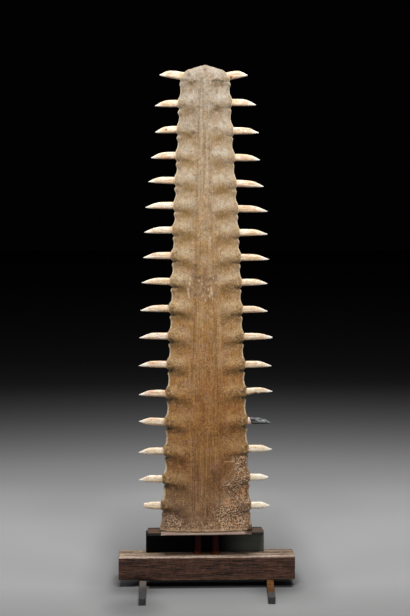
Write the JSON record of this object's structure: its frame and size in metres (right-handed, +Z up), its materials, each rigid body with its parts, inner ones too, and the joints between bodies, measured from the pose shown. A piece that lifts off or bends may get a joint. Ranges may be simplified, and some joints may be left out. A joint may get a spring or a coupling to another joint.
{
  "type": "sawfish rostrum",
  "caption": "Dried sawfish rostrum: a long tapering blade with teeth along both edges, standing upright on a wooden stand with two posts and two foot bars.",
  "frame": {"origin": "on the floor under the middle of the stand's beam", "axes": "+Z up along the rostrum, towards its tip; the front faces -Y; +X to the right seen from the front"},
  "size_m": [0.456, 0.3564, 1.334],
  "materials": {
    "skin": "dry matt skin, greyer towards the tip, browner and mottled towards the base",
    "tooth": "satin cream with whiter tips and faint streaks",
    "pale_plate": "matt",
    "board_wood": "dull, worn",
    "black_block": "matt black",
    "dark_red": "satin dark red",
    "weathered_wood": "rough, with open grain along the length",
    "rust": "rusty, golden brown"
  },
  "bodies": {
    "root": {"rostrum": "skin", "tooth_left_01": "tooth", "tooth_left_02": "tooth", "tooth_left_03": "tooth", "tooth_left_04": "tooth", "tooth_left_05": "tooth", "tooth_left_06": "tooth", "tooth_left_07": "tooth", "tooth_left_08": "tooth", "tooth_left_09": "tooth", "tooth_left_10": "tooth", "tooth_left_11": "tooth", "tooth_left_12": "tooth", "tooth_left_13": "tooth", "tooth_left_14": "tooth", "tooth_left_15": "tooth", "tooth_left_16": "tooth", "tooth_left_17": "tooth", "tooth_right_01": "tooth", "tooth_right_02": "tooth", "tooth_right_03": "tooth", "tooth_right_04": "tooth", "tooth_right_05": "tooth", "tooth_right_06": "tooth", "tooth_right_07": "tooth", "tooth_right_08": "tooth", "tooth_right_09": "tooth", "tooth_right_10": "tooth", "tooth_right_11": "tooth", "tooth_right_12": "tooth", "tooth_right_13": "tooth", "tooth_right_14": "tooth", "tooth_right_15": "tooth", "tooth_right_16": "tooth", "tooth_right_17": "tooth", "seat_plate": "pale_plate", "upper_board": "board_wood", "spacer_block": "black_block", "post_left": "dark_red", "post_right": "dark_red", "beam": "weathered_wood", "foot_bar_left": "rust", "foot_bar_right": "rust"}
  },
  "joints": []
}
